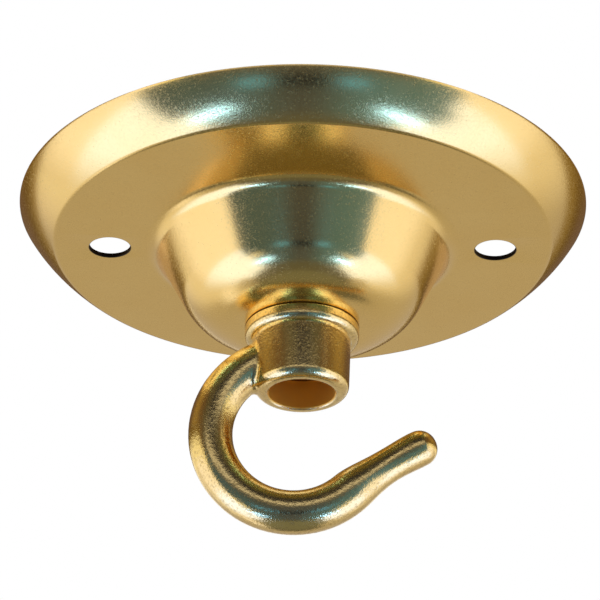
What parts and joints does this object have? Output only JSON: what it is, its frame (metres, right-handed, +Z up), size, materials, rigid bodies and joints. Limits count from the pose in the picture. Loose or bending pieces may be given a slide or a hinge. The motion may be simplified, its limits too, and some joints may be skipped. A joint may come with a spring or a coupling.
{
  "type": "ceiling hook",
  "caption": "Brass ceiling hook for a pendant lamp: flared round plate with a domed middle and screw holes, and an open cast hook on a bored boss that lets the cable pass.",
  "frame": {"origin": "centre of the plate's rim, on the ceiling plane", "axes": "+Z up into the ceiling, +X along the line of the fixing holes and towards the hook's open side, +Y away from the viewer of the picture"},
  "size_m": [0.075, 0.075, 0.0468],
  "materials": {
    "plate_brass": "satin, lacquered",
    "cast_brass": "cast and tumbled bright",
    "nipple_brass": "machined",
    "nut_brass": "machined"
  },
  "bodies": {
    "root": {"ceiling_plate": "plate_brass", "hook": "cast_brass", "threaded_nipple": "nipple_brass", "lock_nut": "nut_brass"}
  },
  "joints": []
}
